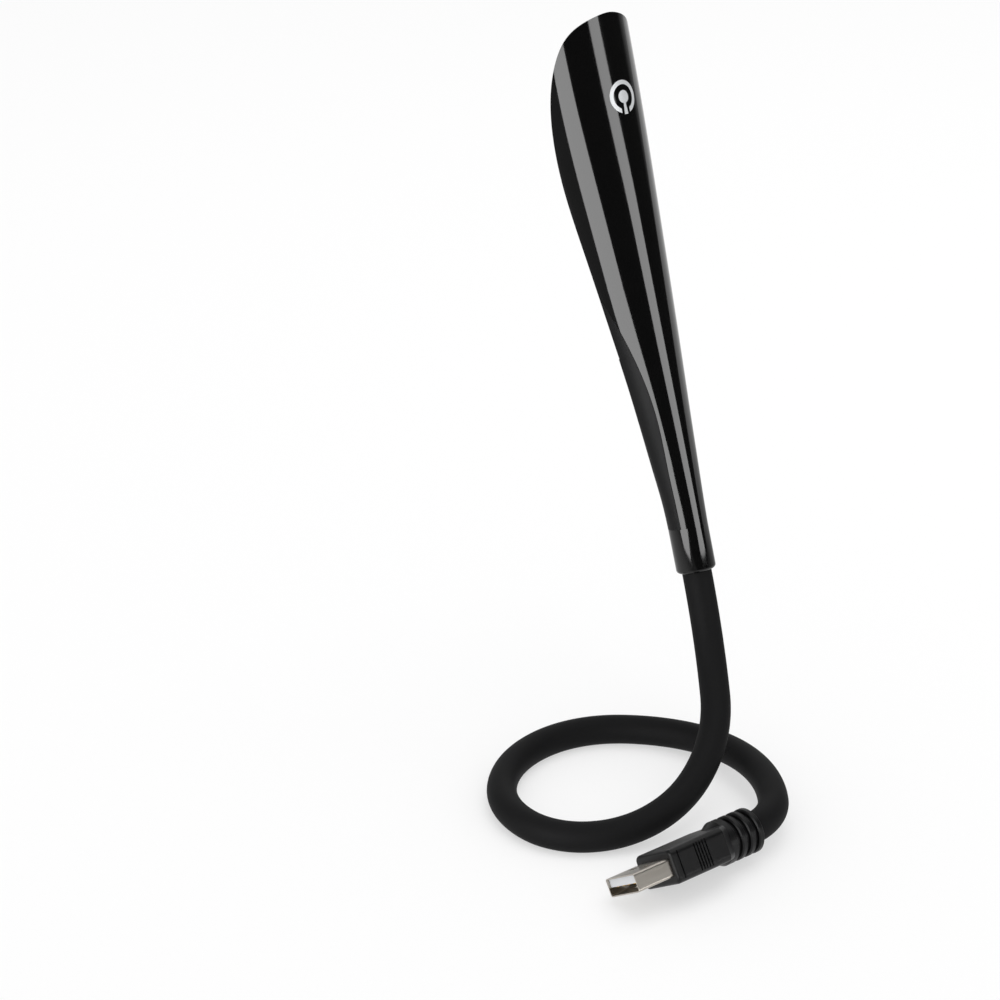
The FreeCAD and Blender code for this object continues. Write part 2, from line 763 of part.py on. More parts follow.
def boot_profile():
    """The ribbed boot's outline, from its mouth to the block."""
    radius = size("boot_diameter") / 2
    edge = size("boot_edge")
    groove = radius - size("boot_groove_depth")
    points = [(0, 0)]
    for rib in range(BOOT_RIBS):
        low = rib * size("boot_rib_pitch")
        high = low + size("boot_rib_pitch") - size("boot_groove_width")
        points += [(radius - edge, low), (radius, low + edge),
                   (radius, high - edge), (radius - edge, high)]
        points += [(groove, high), (groove, high + size("boot_groove_width"))]
    low = BOOT_RIBS * size("boot_rib_pitch")
    high = size("boot_length") + size("plug_shoulder")
    points += [(radius - edge, low), (radius, low + edge), (radius, size("boot_length")),
               (size("plug_height") / 2, high), (0, high)]
    return points


overmould = document.addObject("PartDesign::Body", "overmould")
boot_sketch = sketch_on(overmould, "boot_outline", "XZ_Plane")
closed_lines(boot_sketch, boot_profile())
boot = overmould.newObject("PartDesign::Revolution", "boot")
boot.Profile = boot_sketch
boot.ReferenceAxis = (boot_sketch, ["V_Axis"])
shoulder_low = sketch_on(overmould, "shoulder_low", "XY_Plane", cell("boot_length"))
rounded_rectangle(shoulder_low, size("boot_diameter"), size("plug_height"), size("plug_round"))
shoulder_high = sketch_on(overmould, "shoulder_high", "XY_Plane",
                          f"{cell('boot_length')} + {cell('plug_shoulder')}")
rounded_rectangle(shoulder_high, size("plug_width"), size("plug_height"), size("plug_round"))
shoulder = overmould.newObject("PartDesign::AdditiveLoft", "shoulder")
shoulder.Profile = shoulder_low
shoulder.Sections = [shoulder_high]
block_sketch = sketch_on(overmould, "block_outline", "XY_Plane",
                         f"{cell('boot_length')} + {cell('plug_shoulder')}")
rounded_rectangle(block_sketch, size("plug_width"), size("plug_height"), size("plug_round"))
block = overmould.newObject("PartDesign::Pad", "block")
block.Profile = block_sketch
block.setExpression("Length", f"{cell('plug_length')} - {cell('plug_shoulder')}")
document.recompute()
front_edges = [f"Edge{count}" for count, edge in enumerate(block.Shape.Edges, start=1)
               if edge.BoundBox.ZMin > plug_front - size("fit_clearance")]
front_round = overmould.newObject("PartDesign::Fillet", "front_round")
front_round.Base = (block, front_edges)
front_round.setExpression("Radius", cell("plug_front_round"))
grip_sketch = sketch_on(overmould, "grip_outline", "XZ_Plane")
groove_places = [size("grip_place") + count * size("grip_pitch")
                 for count in range(GRIP_GROOVES)] + [size("front_slot_place")]
for side in (-1, 1):
    for place in groove_places:
        ends = sorted((side * (size("plug_width") / 2 - size("grip_depth")),
                       side * (size("plug_width") / 2 + size("overrun"))))
        rectangle(grip_sketch, ends[0], place, ends[1], place + size("grip_groove"))
grips = overmould.newObject("PartDesign::Pocket", "grips")
grips.Profile = grip_sketch
grips.SideType = "Symmetric"
grips.setExpression("Length", f"{cell('plug_height')} - {cell('plug_round')}")
seat_sketch = sketch_on(overmould, "seat_outline", "XY_Plane", front_height)
rounded_rectangle(seat_sketch, size("usb_width"), size("usb_height"), size("usb_round"))
seat = overmould.newObject("PartDesign::Pocket", "seat")
seat.Profile = seat_sketch
seat.setExpression("Length", cell("usb_buried"))
bore_sketch = sketch_on(overmould, "bore_outline", "XZ_Plane")
neck_room = size("neck_diameter") / 2 + size("neck_clearance")
ferrule_room = size("ferrule_diameter") / 2 + size("neck_clearance")
hose_depth = size("boot_seat") + size("ferrule_seat")
closed_lines(bore_sketch, [
    (0, -size("overrun")), (neck_room, -size("overrun")), (neck_room, size("boot_seat")),
    (ferrule_room, size("boot_seat")), (ferrule_room, hose_depth),
    (size("lead_room") / 2, hose_depth), (size("lead_room") / 2, plug_inside),
    (0, plug_inside)])
bore = overmould.newObject("PartDesign::Groove", "bore")
bore.Profile = bore_sketch
bore.ReferenceAxis = (bore_sketch, ["V_Axis"])
node("plug_overmould", overmould, plug_place)

# Folded steel shell with its four latch windows

usb_shell = document.addObject("PartDesign::Body", "usb_sheet")
shell_length = f"{cell('usb_buried')} + {cell('usb_exposed')}"
for word, margin in (("outside", 0), ("inside", size("usb_wall"))):
    sheet_sketch = sketch_on(usb_shell, f"sheet_{word}", "XY_Plane",
                             f"{front_height} - {cell('usb_buried')}")
    rounded_rectangle(sheet_sketch, size("usb_width") - 2 * margin,
                      size("usb_height") - 2 * margin, size("usb_round") - margin)
    kind = "Pocket" if margin else "Pad"
    sheet_step = usb_shell.newObject(f"PartDesign::{kind}", f"sheet_{word}_{kind}")
    sheet_step.Profile = sheet_sketch
    sheet_step.Reversed = bool(margin)
    sheet_step.setExpression("Length", shell_length)
window_sketch = sketch_on(usb_shell, "window_outline", "XZ_Plane")
window_high = plug_front + size("usb_exposed") - size("usb_window_place")
for side in (-1, 1):
    window_middle = side * size("usb_window_spacing") / 2
    window_half = size("usb_window_width") / 2
    rectangle(window_sketch, window_middle - window_half,
              window_high - size("usb_window_length"), window_middle + window_half, window_high)
windows = usb_shell.newObject("PartDesign::Pocket", "windows")
windows.Profile = window_sketch
windows.SideType = "Symmetric"
windows.setExpression("Length", f"{cell('usb_height')} + {cell('overrun')}")
node("usb_shell", usb_shell, plug_place)

# Contact block with its tongue, and the four contacts under it

inner_gap = size("usb_wall") + size("neck_clearance")
block_width = size("usb_width") - 2 * inner_gap
block_height = size("usb_height") - 2 * inner_gap
inner_width = f"{cell('usb_width')} - 2 * ({cell('usb_wall')} + {cell('neck_clearance')})"
inner_height = f"{cell('usb_height')} - 2 * ({cell('usb_wall')} + {cell('neck_clearance')})"
block_foot = Vector(-block_width / 2, -block_height / 2, plug_inside)
contact_block = primitive("Box", "contact_block", Placement(block_foot, Rotation()),
                          Length=inner_width, Width=inner_height, Height=cell("block_length"))
tongue_low = block_height / 2 - size("tongue_thickness")
tongue_foot = Vector(block_foot.x, tongue_low, plug_inside)
tongue = primitive("Box", "tongue", Placement(tongue_foot, Rotation()), Length=inner_width,
                   Width=cell("tongue_thickness"),
                   Height=f"{shell_length} - {cell('tongue_setback')}")
node("usb_tongue", fuse("tongue_and_block", contact_block, tongue), plug_place)
contact_low = (plug_front + size("usb_exposed") - size("contact_setback")
               - size("contact_length"))
contacts = []
for word, spacing in (("inner", "contact_inner_spacing"), ("outer", "contact_outer_spacing")):
    for side in (-1, 1):
        spot = Vector(side * size(spacing) / 2 - size("contact_width") / 2,
                      tongue_low - size("contact_thickness"), contact_low)
        contacts.append(primitive("Box", f"contact_{word}_{len(contacts)}",
                                  Placement(spot, Rotation()), Length=cell("contact_width"),
                                  Width=cell("contact_thickness"),
                                  Height=cell("contact_length")))
node("usb_contacts", group("contacts", contacts), plug_place)

# Check every object, then write one file for each sub-part.

document.recompute()
for thing in document.Objects:
    if "Invalid" in thing.State or "Error" in thing.State:
        raise RuntimeError(f"{thing.Name} did not build: {thing.State}")
os.makedirs("parts", exist_ok=True)
for thing in nodes:
    if thing.Shape.isNull() or not thing.Shape.isValid() or not thing.Shape.Solids:
        raise RuntimeError(f"{thing.Label} is not a valid solid")
    thing.Shape.exportStep(f"parts/{thing.Label}.step")

# Each bending station's middle, its direction and its bending axis, for the hand-over record.
for name, place in zip(stations, hinge_places):
    run = route.run_at(place)
    point, along, _ = run.at(place)
    print("station", name, *point, *along, *run.axis)
print("plug", *plug_mouth, *plug_along)
print("head", *head_place.Base, *head_place.Rotation.Q)
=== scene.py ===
import math

import bpy
import numpy as np
from mathutils import Matrix, Vector


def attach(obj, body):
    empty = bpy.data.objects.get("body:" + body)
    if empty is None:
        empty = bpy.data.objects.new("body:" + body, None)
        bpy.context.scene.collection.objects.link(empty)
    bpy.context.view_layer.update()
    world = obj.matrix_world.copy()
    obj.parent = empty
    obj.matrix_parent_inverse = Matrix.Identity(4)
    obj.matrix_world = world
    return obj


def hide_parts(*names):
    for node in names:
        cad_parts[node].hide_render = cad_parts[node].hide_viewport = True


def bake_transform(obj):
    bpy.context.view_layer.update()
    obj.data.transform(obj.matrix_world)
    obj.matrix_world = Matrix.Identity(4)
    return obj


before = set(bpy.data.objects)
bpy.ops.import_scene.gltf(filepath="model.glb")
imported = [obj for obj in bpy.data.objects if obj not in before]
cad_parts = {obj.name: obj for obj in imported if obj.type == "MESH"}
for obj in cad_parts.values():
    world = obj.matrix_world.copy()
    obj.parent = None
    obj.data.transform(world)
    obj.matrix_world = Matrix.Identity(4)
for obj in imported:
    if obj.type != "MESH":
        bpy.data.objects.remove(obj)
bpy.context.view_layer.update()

# Plug
# The plug's body is soft vinyl moulded over the crimped end of the neck, with a ribbed boot that
# lets the neck bend. A folded, nickel-plated steel shell stands out of it, round a white tongue
# with four gold contacts.

MM = 0.001
CLOUD_GRAINS = 18
LINE_GRAINS = 40
CREASE = math.radians(28)


def linear(hex_colour):
    """An sRGB hex colour as the linear colour that a shader takes."""
    channels = [int(hex_colour[place:place + 2], 16) / 255 for place in (1, 3, 5)]
    return tuple(c / 12.92 if c <= 0.04045 else ((c + 0.055) / 1.055) ** 2.4
                 for c in channels) + (1.0,)


def add(material, kind, settings=None, links=None):
    """Add a node; settings fill its properties or sockets, links join other outputs to it."""
    node = material.node_tree.nodes.new(kind)
    for name, value in (settings or {}).items():
        if isinstance(name, str) and hasattr(node, name):
            setattr(node, name, value)
        else:
            node.inputs[name].default_value = value
    for name, output in (links or {}).items():
        material.node_tree.links.new(output, node.inputs[name])
    return node


def empty_material(name):
    material = bpy.data.materials.new(name)
    material.use_nodes = True
    material.node_tree.nodes.clear()
    return material


def surface(name, settings, links):
    """A material of one principled surface. Links is a function that makes its patterns."""
    material = empty_material(name)
    shader = add(material, "ShaderNodeBsdfPrincipled", settings, links(material))
    add(material, "ShaderNodeOutputMaterial", links={"Surface": shader.outputs["BSDF"]})
    return material


def moulded(grain_mm, depth_mm, gloss, tones):
    """Patterns of a moulded skin: a fine relief, and gloss and tone that drift with it."""
    def links(material):
        place = add(material, "ShaderNodeTexCoord").outputs["Object"]
        grain = add(material, "ShaderNodeTexNoise",
                    {"Scale": 1 / (grain_mm * MM), "Detail": 4.0, "Roughness": 0.55},
                    {"Vector": place})
        cloud = add(material, "ShaderNodeTexNoise",
                    {"Scale": 1 / (CLOUD_GRAINS * grain_mm * MM), "Detail": 2.0}, {"Vector": place})
        rough = add(material, "ShaderNodeMapRange", {"To Min": gloss[0], "To Max": gloss[1]},
                    {"Value": cloud.outputs["Fac"]})
        tone = add(material, "ShaderNodeMix",
                   {"data_type": "RGBA", 6: linear(tones[0]), 7: linear(tones[1])},
                   {0: grain.outputs["Fac"]})
        relief = add(material, "ShaderNodeBump", {"Distance": depth_mm * MM},
                     {"Height": grain.outputs["Fac"]})
        return {"Base Color": tone.outputs[2], "Roughness": rough.outputs["Result"],
                "Normal": relief.outputs["Normal"]}
    return links


def paint(material, *names):
    """Give CAD nodes a material and let their round faces shade smoothly."""
    for name in names:
        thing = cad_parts[name]
        thing.data.materials.clear()
        thing.data.materials.append(material)
        for face in thing.data.polygons:
            face.use_smooth = True
        creases = thing.modifiers.new("creases", "EDGE_SPLIT")
        creases.split_angle = CREASE


# Soft vinyl from an eroded tool: a dull black with a fine even grain and a weak, wide sheen. The
# grain is drawn coarser than the real one, so that it shows.
vinyl = surface("soft_vinyl_moulded", {"IOR": 1.53, "Specular IOR Level": 0.25},
                moulded(0.35, 0.01, (0.34, 0.46), ("#0B0B0C", "#111112")))
paint(vinyl, "plug_overmould")


def drawn(along, grain_mm, gloss, tones):
    """Patterns of a rolled or plated metal: fine lines along its length."""
    def links(material):
        place = add(material, "ShaderNodeTexCoord").outputs["Object"]
        laid = add(material, "ShaderNodeMapping",
                   {"vector_type": "TEXTURE", "Rotation": (0, 0, along),
                    "Scale": (LINE_GRAINS * grain_mm * MM, grain_mm * MM, grain_mm * MM)},
                   {"Vector": place})
        lines = add(material, "ShaderNodeTexNoise", {"Scale": 1.0, "Detail": 3.0},
                    {"Vector": laid.outputs["Vector"]})
        rough = add(material, "ShaderNodeMapRange", {"To Min": gloss[0], "To Max": gloss[1]},
                    {"Value": lines.outputs["Fac"]})
        tone = add(material, "ShaderNodeMix",
                   {"data_type": "RGBA", 6: linear(tones[0]), 7: linear(tones[1])},
                   {0: lines.outputs["Fac"]})
        return {"Base Color": tone.outputs[2], "Roughness": rough.outputs["Result"]}
    return links


NECK_HEADING = math.radians(37.3)

# Nickel plate on folded steel sheet: a warm grey metal with faint rolling lines along the plug.
nickel = surface("nickel_plated_steel", {"Metallic": 1.0},
                 drawn(NECK_HEADING, 0.5, (0.27, 0.31), ("#B7B1A8", "#C3BEB6")))
paint(nickel, "usb_shell")

# White nylon, moulded: a bright, slightly dull insulator.
nylon = surface("white_nylon_moulded", {"IOR": 1.53},
                moulded(0.2, 0.004, (0.4, 0.55), ("#DCDEE2", "#E8EAEC")))
paint(nylon, "usb_tongue")

# Gold plate on stamped bronze: a warm, fairly sharp metal.
gold = surface("gold_plated_bronze", {"Metallic": 1.0},
               drawn(NECK_HEADING, 0.4, (0.18, 0.3), ("#C89A4A", "#E2BC6A")))
paint(gold, "usb_contacts")

# Drawn brass, crimped on the ends of the hose: a yellow metal, a little dull.
brass = surface("drawn_brass", {"Metallic": 1.0},
                drawn(NECK_HEADING, 0.6, (0.25, 0.4), ("#A8823F", "#C7A35C")))
paint(brass, "plug_ferrule", "head_ferrule")

# Neck
# A steel hose, wound from wire, keeps whatever bend it is given. Two leads run through it, and a
# soft black sleeve is drawn over it from the boot to the collar. It lies flat on the table.

BODIES = ("plug_end", "coil_1", "coil_2", "coil_3", "coil_4", "coil_5", "coil_6",
          "riser", "upper", "head")
NECK_RADIUS = 3.8 * MM
FLEX_LENGTH = 6 * MM
BOOT_MOUTH = Vector((26.23, -37.83, 6.9735)) * MM
BOOT_SEAT = 8 * MM
COLLAR_SEAT = 10 * MM
COIL_TURN = math.radians(45)
COIL_DIP = math.radians(-9.1)
COIL_RADII = [radius * MM for radius in (45, 34, 29, 32, 25, 18)]
# Length, turn and roll of the bends before and after the coil
FIRST_BEND = (16.1 * MM, math.radians(50.7), 0.0)
RISE = (33 * MM, math.radians(59), math.radians(30))
CLIMB = (26 * MM, math.radians(35), math.radians(36))
UPPER = (33 * MM, math.radians(42), math.radians(108))
HEAD_STATION = 18 * MM
RING_STEP = 0.8 * MM
RING_POINTS = 48


class Pen:
    """Draws the neck's middle line: length, point, direction and left-hand side."""

    def __init__(self, point, along):
        self.point = point
        self.along = along
        self.left = Vector((-along.y, along.x, 0))
        self.length = 0.0
        self.line = []

    def bend(self, length, turn, aside):
        """Go on by the length, turning towards one side."""
        steps = round(length / RING_STEP)
        start, along, left, begun = self.point, self.along, self.left, self.length
        for step in range(steps + 1):
            share = step / steps
            if turn:
                reach = along * math.sin(turn * share) + aside * (1 - math.cos(turn * share))
                self.point = start + reach * length / turn
            else:
                self.point = start + along * length * share
            spin = Matrix.Rotation(turn * share, 3, along.cross(aside))
            self.along, self.left = spin @ along, spin @ left
            self.length = begun + length * share
            if step or not self.line:
                self.line.append((self.length, self.point, self.along, self.left))

    def rolled(self, roll):
        """The side that lies at an angle up from the left-hand side."""
        return self.left * math.cos(roll) + self.along.cross(self.left) * math.sin(roll)

    def level_turn(self, radius, turn):
        """Turn left by the angle in plan and end level."""
        heading = math.atan2(self.along.y, self.along.x) + turn
        level = Vector((math.cos(heading), math.sin(heading), 0))
        true_turn = self.along.angle(level)
        aside = (level - self.along * math.cos(true_turn)).normalized()
        self.bend(radius * true_turn, true_turn, aside)
        self.left = Vector((-level.y, level.x, 0))


boot_along = Vector((math.cos(NECK_HEADING), math.sin(NECK_HEADING), 0))
pen = Pen(BOOT_MOUTH - boot_along * BOOT_SEAT, boot_along)
pen.bend(BOOT_SEAT, 0.0, pen.left)
pen.bend(FIRST_BEND[0], FIRST_BEND[1], pen.rolled(FIRST_BEND[2]))
stations = [pen.length]
pen.bend(COIL_RADII[0] * COIL_TURN, COIL_TURN, pen.rolled(COIL_DIP))
for coil_radius in COIL_RADII[1:]:
    stations.append(pen.length)
    pen.level_turn(coil_radius, COIL_TURN)
stations.append(pen.length)
for bend_length, bend_turn, bend_roll in (RISE, CLIMB):
    pen.bend(bend_length, bend_turn, pen.rolled(bend_roll))
stations.append(pen.length)
stations.append(pen.length + HEAD_STATION)
pen.bend(UPPER[0], UPPER[1], pen.rolled(UPPER[2]))
mouth_point, mouth_along, mouth_left = pen.point, pen.along, pen.left
pen.bend(COLLAR_SEAT, 0.0, pen.left)


def new_piece(name, material, vertices, faces, smooth=True):
    """A mesh object of the named piece."""
    mesh = bpy.data.meshes.new(name)
    mesh.from_pydata([tuple(v) for v in vertices], [], faces)
    mesh.validate()
    mesh.materials.append(material)
    for face in mesh.polygons:
        face.use_smooth = smooth
    piece = bpy.data.objects.new(name, mesh)
    bpy.context.collection.objects.link(piece)
    return piece


def strips(rows, width, closed=False, first=0):
    """Four-sided faces between rows of points, each row as wide as the next."""
    ends = width if closed else width - 1
    return [(first + row * width + k, first + row * width + (k + 1) % width,
             first + (row + 1) * width + (k + 1) % width, first + (row + 1) * width + k)
            for row in range(rows - 1) for k in range(ends)]


def sleeve_rings(line):
    """Rings of the sleeve's outside, pressed flat where they lie on the table."""
    spots = []
    for _, point, along, left in line:
        up = along.cross(left)
        for step in range(RING_POINTS):
            angle = 2 * math.pi * step / RING_POINTS
            spot = point + (left * math.cos(angle) + up * math.sin(angle)) * NECK_RADIUS
            spots.append((spot.x, spot.y, max(spot.z, 0.0)))
    return spots


def nearest(length):
    """The place on the neck's line that is nearest to a length."""
    return min(range(len(pen.line)), key=lambda k: abs(pen.line[k][0] - length))


# Thermoplastic rubber with a soft-touch coat: an even, deep black that hardly shines.
sleeve_rubber = surface("soft_touch_rubber_extruded",
                        {"IOR": 1.5, "Specular IOR Level": 0.12},
                        moulded(0.5, 0.006, (0.6, 0.72), ("#121213", "#161617")))
middles = [(low + FLEX_LENGTH + high) / 2 for low, high in zip(stations, stations[1:])]
breaks = [0] + [nearest(length) for length in middles] + [len(pen.line) - 1]
for count, station in enumerate(stations):
    line = pen.line[breaks[count]:breaks[count + 1] + 1]
    skin = new_piece(f"neck_skin_{count + 1:02d}", sleeve_rubber, sleeve_rings(line),
                     strips(len(line), RING_POINTS, closed=True))
    hinge = station + FLEX_LENGTH / 2
    reach = min(hinge - line[0][0], line[-1][0] - hinge, 2 * FLEX_LENGTH)
    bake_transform(skin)
    hidden = [f"neck_flex_{count + 1:02d}", f"neck_sleeve_{count + 1:02d}"]
    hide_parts(*(hidden if count else ["neck_sleeve_00"] + hidden))

# Drawn steel wire, wound tight: a bright grey metal.
wound_steel = surface("drawn_steel_wire", {"Metallic": 1.0},
                      drawn(NECK_HEADING, 0.6, (0.25, 0.42), ("#8E8F92", "#BEBFC2")))
paint(wound_steel, *(f"neck_hose_{count:02d}" for count in range(len(BODIES))))
# Vinyl, extruded over copper: a plain red with a low shine.
lead_vinyl = surface("lead_vinyl_extruded", {"IOR": 1.53},
                     moulded(0.3, 0.004, (0.35, 0.5), ("#7A1712", "#8E1E18")))
paint(lead_vinyl, "head_leads", *(f"neck_leads_{count:02d}" for count in range(len(BODIES))))

# Head, inside
# A white board with two rows of light diodes lies behind the diffuser. The dimmer chip, its
# resistors and a post of conductive foam for the touch switch are on its back.

HEAD_LENGTH = 142 * MM
HEAD_RADIUS = 13.9 * MM
HEAD_ROLL = math.radians(158)
COLLAR_RADIUS = 5.1 * MM
COLLAR_LENGTH = 11.7 * MM
BACK_RISE = 1.8 * MM
SHELL_WALL = 1.8 * MM
SEAM_OFFSET = 1.5 * MM
RIM_TILT = math.radians(4.5)
HEIGHT_SHARES = (0, 0.05, 0.11, 0.19, 0.27, 0.35, 0.60, 0.84, 1)
RADIUS_SHARES = (0, 0.043, 0.119, 0.222, 0.339, 0.464, 0.776, 0.992, 1)
BOARD_ENDS = (59.6 * MM, 124.3 * MM)
BOARD_DEPTH = 4.4 * MM
BOARD_THICKNESS = 0.9 * MM
BOARD_GAP = 0.4 * MM
BOARD_ROWS = 40

mouth_back = Matrix.Rotation(HEAD_ROLL, 3, mouth_along) @ mouth_left
head_frame = Matrix((mouth_back.cross(mouth_along), mouth_back, mouth_along)).transposed()
head_frame = head_frame.to_4x4()
head_frame.translation = mouth_point


def in_head(x, y, z):
    """A point of the head: across it, towards its back, and up from its collar's mouth."""
    return head_frame @ Vector((x, y, z))


def smooth_curve(places, values):
    """A natural cubic spline through the values."""
    gaps = np.diff(places)
    rates = np.diff(values) / gaps
    system = np.eye(len(places))
    turns = np.zeros(len(places))
    for k in range(1, len(places) - 1):
        system[k, k - 1:k + 2] = gaps[k - 1], 2 * (gaps[k - 1] + gaps[k]), gaps[k]
        turns[k] = 3 * (rates[k] - rates[k - 1])
    bends = np.linalg.solve(system, turns)

    def curve(place):
        k = min(max(int(np.searchsorted(places, place)) - 1, 0), len(gaps) - 1)
        step = place - places[k]
        rate = rates[k] - gaps[k] * (2 * bends[k] + bends[k + 1]) / 3
        return values[k] + step * (rate + step * (bends[k] + step * (bends[k + 1] - bends[k])
                                                  / (3 * gaps[k])))
    return curve


widening = smooth_curve(HEIGHT_SHARES, RADIUS_SHARES)


def head_circle(height):
    """Radius of the head's round section, and how far its middle is off the collar's axis."""
    share = max(0.0, (height - COLLAR_LENGTH) / (HEAD_LENGTH - COLLAR_LENGTH))
    radius = COLLAR_RADIUS + widening(share) * (HEAD_RADIUS - COLLAR_RADIUS)
    return radius, COLLAR_RADIUS + share * BACK_RISE - radius


board_points = []
board_heights = np.linspace(*BOARD_ENDS, BOARD_ROWS)
for height in board_heights:
    radius, middle = head_circle(height)
    face = SEAM_OFFSET - (height - COLLAR_LENGTH) * math.tan(RIM_TILT) + BOARD_DEPTH
    half = math.sqrt((radius - SHELL_WALL) ** 2 - (face - middle) ** 2) - BOARD_GAP
    corners = [(half, face), (-half, face), (-half, face + BOARD_THICKNESS),
               (half, face + BOARD_THICKNESS)]
    board_points += [in_head(x, y, height) for x, y in corners]
board_faces = strips(BOARD_ROWS, 4, closed=True)
board_faces += [(3, 2, 1, 0), tuple(range(len(board_points) - 4, len(board_points)))]

# Solder mask, screen printed: an even white with a low shine.
board_mask = surface("white_solder_mask", {"IOR": 1.5},
                     moulded(0.4, 0.004, (0.3, 0.42), ("#DCDFDC", "#E9EBE8")))
board = new_piece("light_board_plate", board_mask, board_points, board_faces, smooth=False)
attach(board, "head")
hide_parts("light_board")
# Resin with phosphor, cast in the packages: a pale yellow.
diode_resin = surface("phosphor_resin_cast", {"IOR": 1.5},
                      moulded(0.3, 0.006, (0.35, 0.5), ("#D9C35A", "#EAD98A")))
paint(diode_resin, "light_diodes")
# Filled epoxy, moulded: a dull black.
chip_epoxy = surface("chip_epoxy_moulded", {"IOR": 1.55},
                     moulded(0.25, 0.006, (0.5, 0.65), ("#131314", "#1D1D1E")))
paint(chip_epoxy, "dimmer_chip", "resistors")
# Foam loaded with carbon: a rough dark grey.
electrode_foam = surface("conductive_foam", {"IOR": 1.4},
                         moulded(0.5, 0.05, (0.8, 0.95), ("#232325", "#38383A")))
paint(electrode_foam, "touch_electrode")

# Diffuser
# Opal acrylic, let into the rim of the head. It is flat across, follows the rim as it rolls back
# to the tip, and spreads the light of the diodes.

COVER_END = 57 * MM
TIP_HEIGHT = 141.25 * MM
RIM_BORDER = 2.1 * MM
DIFFUSER_RECESS = 0.3 * MM
DIFFUSER_SIDE = 1.2 * MM
# The rim's place round the section, as shares of a quarter turn from the middle of the back,
# against the square root of its share of the way down from the tip.
RIM_ROOT_SHARES = (0, 0.042, 0.126, 0.252, 0.378, 0.445, 0.55, 0.63, 0.71, 0.78, 0.96)
RIM_TURN_SHARES = (0, 0.116, 0.417, 0.717, 0.914, 0.989, 1.051, 1.028, 0.994, 0.986, 1)
EDGE_ROWS = 160
EDGE_CREASE = math.radians(35)
DIFFUSER_POINTS = 24

rim_curve = smooth_curve(RIM_ROOT_SHARES, RIM_TURN_SHARES)


def rim_turn(height):
    """The rim's place round the section, from the middle of the back."""
    return rim_curve(math.sqrt(1 - height / TIP_HEIGHT)) * math.pi / 2


def on_head(turn, height):
    """A point of the head's outside, by its turn from the middle of the back and its height."""
    radius, middle = head_circle(height)
    return radius * math.sin(turn), middle + radius * math.cos(turn), height


def rim_heights(start):
    """Heights from a start to the tip, closer together towards the tip."""
    return [TIP_HEIGHT - (TIP_HEIGHT - start) * (1 - k / (EDGE_ROWS - 0.5)) ** 2
            for k in range(EDGE_ROWS)]


rim_line = np.array([on_head(rim_turn(height), height) for height in rim_heights(COVER_END)])
across_up = np.gradient(rim_line[:, [0, 2]], axis=0)
inward = np.column_stack([-across_up[:, 1], across_up[:, 0]])
inward /= np.linalg.norm(inward, axis=1)[:, None]
border_line = rim_line.copy()
border_line[:, [0, 2]] += inward * RIM_BORDER
# At the tip the two sides meet, and the border leans back to the inside of the wall.
rim_line[-1, 0] = border_line[-1, 0] = 0
for spot in border_line:
    radius, middle = head_circle(spot[2])
    inside = max(0.0, (radius - SHELL_WALL) ** 2 - spot[0] ** 2)
    spot[1] = min(spot[1], middle + math.sqrt(inside))
rim_loop, border_loop = (np.vstack([line, line[-2::-1] * (-1, 1, 1)])
                         for line in (rim_line, border_line))

diffuser_points = []
for x, y, z in border_line:
    diffuser_points += [in_head(x * share, y + DIFFUSER_RECESS, z)
                        for share in np.linspace(1, -1, DIFFUSER_POINTS)]
diffuser_faces = strips(len(border_line), DIFFUSER_POINTS)
first = len(diffuser_points)
for deep in (DIFFUSER_RECESS, DIFFUSER_RECESS + DIFFUSER_SIDE):
    diffuser_points += [in_head(x, y + deep, z) for x, y, z in border_loop]
diffuser_faces += strips(2, len(border_loop), closed=True, first=first)

# Cast opal acrylic: a cool milky white, smooth, with light that sinks in a little.
opal = surface("opal_acrylic_cast", {"IOR": 1.49, "Subsurface Weight": 0.35,
                                     "Subsurface Radius": (0.004, 0.004, 0.004)},
               moulded(1.5, 0.002, (0.16, 0.26), ("#E4E9F4", "#EDF0F8")))
diffuser = new_piece("diffuser_sheet", opal, diffuser_points, diffuser_faces)
diffuser.modifiers.new("creases", "EDGE_SPLIT").split_angle = EDGE_CREASE
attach(diffuser, "head")
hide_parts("diffuser")

# Back shell
# One gloss moulding: the round collar that grips the neck, and a scoop that widens to the tip.
# Its edge meets the front cover below and is the rim of the diffuser above.

COLLAR_ROUND = 0.9 * MM
NECK_HOLE = 3.9 * MM
SEAM_TOP = 74 * MM
EDGE_LIP = 0.8 * MM
HOLE_DEPTH = 3 * MM
# Where the shell ends at the cover, as shares of a quarter turn against shares of the head's length
SEAM_HEIGHT_SHARES = (0.0824, 0.183, 0.282, 0.373, 0.458, 0.521)
SEAM_TURN_SHARES = (0.72, 0.65, 0.58, 0.645, 0.81, 0.99)
SHELL_POINTS = 121
SEAM_ROWS = 90
COLLAR_POINTS = 96
FOOT_ROWS = 9

seam_curve = smooth_curve(SEAM_HEIGHT_SHARES, SEAM_TURN_SHARES)


def seam_turn(height):
    """Where the shell ends at the cover, from the middle of the back."""
    return seam_curve(height / HEAD_LENGTH) * math.pi / 2


def shell_turn(height):
    """Where the shell ends, at the cover or at the rim."""
    if height > SEAM_TOP:
        return rim_turn(height)
    return min(seam_turn(height), rim_turn(height))


shell_points = []
shell_heights = rim_heights(COLLAR_LENGTH)
for height in shell_heights:
    end = shell_turn(height)
    row = [on_head(turn, height) for turn in np.linspace(end, -end, SHELL_POINTS)]
    shell_points += [in_head(*spot) for spot in row]
shell_faces = strips(len(shell_heights), SHELL_POINTS)
# The rim: a flat border, and the wall round the diffuser
first = len(shell_points)
for line, deep in ((rim_loop, 0.0), (border_loop, 0.0), (border_loop, 2 * DIFFUSER_RECESS)):
    shell_points += [in_head(x, y + deep, z) for x, y, z in line]
shell_faces += strips(3, len(rim_loop), first=first)
